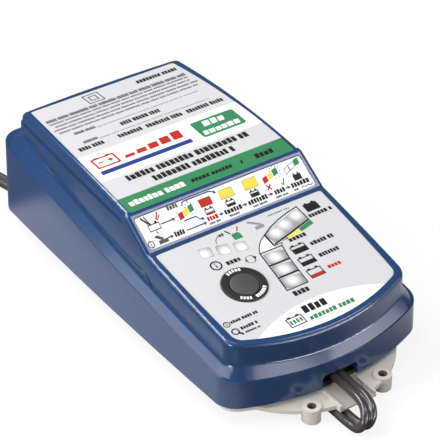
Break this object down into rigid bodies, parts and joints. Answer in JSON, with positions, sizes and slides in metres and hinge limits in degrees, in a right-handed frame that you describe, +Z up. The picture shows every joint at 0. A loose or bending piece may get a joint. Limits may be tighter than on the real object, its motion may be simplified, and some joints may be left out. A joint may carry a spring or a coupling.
{
  "type": "car battery charger",
  "caption": "Sloped car battery charger with printed panels, indicator windows, a push button, a screw-down base and a coiled low-voltage lead.",
  "frame": {"origin": "on the floor under the middle of the charger, at the height of the ears' feet", "axes": "+X across the charger, -Y towards the end where the low-voltage lead leaves, +Z up"},
  "size_m": [0.1215, 0.5627, 0.0701],
  "materials": {
    "blue_shell": "moulded, satin gloss",
    "grey_base": "moulded, fine matt",
    "zinc_steel": "zinc plated",
    "seal_rubber": "soft matt",
    "printed_label": "printed film, satin",
    "frosted_lens": "frosted",
    "black_plastic": "moulded, fine matt",
    "dark_grey_plastic": "moulded, satin",
    "circuit_board": "green solder mask",
    "clear_led": "clear",
    "ferrite": "sintered, matt",
    "winding_tape": "wrapped tape",
    "copper_winding": "enamelled wire",
    "capacitor_sleeve": "shrunk sleeve",
    "bare_aluminium": "extruded, bare",
    "fuse_ceramic": "fired ceramic",
    "film_box": "moulded box",
    "lead_sheath": "extruded, glossy",
    "nickel_brass": "nickel plated"
  },
  "bodies": {
    "housing": {"top_shell": "blue_shell", "base_plate": "grey_base", "case_screws": "zinc_steel", "perimeter_seal": "seal_rubber", "label_upper": "printed_label", "label_flow": "printed_label", "label_control": "printed_label", "lens_row": "frosted_lens", "lens_fan": "frosted_lens", "lens_column": "frosted_lens", "button_bezel": "black_plastic", "tact_switch": "black_plastic", "control_board": "circuit_board", "control_screws": "zinc_steel", "indicator_leds": "clear_led", "board_link": "black_plastic", "main_board": "circuit_board", "board_screws": "zinc_steel", "transformer_core": "ferrite", "transformer_coil": "winding_tape", "line_choke": "copper_winding", "bulk_capacitor": "capacitor_sleeve", "output_capacitors": "capacitor_sleeve", "heat_sink": "bare_aluminium", "power_devices": "black_plastic", "mains_fuse": "fuse_ceramic", "film_capacitor": "film_box", "cable_clamp": "black_plastic", "clamp_screws": "zinc_steel", "mains_inlet": "black_plastic", "dc_lead": "lead_sheath", "lead_coil": "lead_sheath", "lead_tail": "lead_sheath", "coil_tie": "black_plastic", "lead_plug": "black_plastic", "plug_contacts": "nickel_brass"},
    "button": {"button_cap": "dark_grey_plastic", "switch_plunger": "black_plastic"}
  },
  "joints": [
    {"name": "button_press", "type": "slide", "parent": "housing", "child": "button", "axis": [0, 0.1663, -0.9861], "range_m": [0, 0.001], "stiffness_N_per_m": 2000, "springref_m": -0.0005}
  ]
}
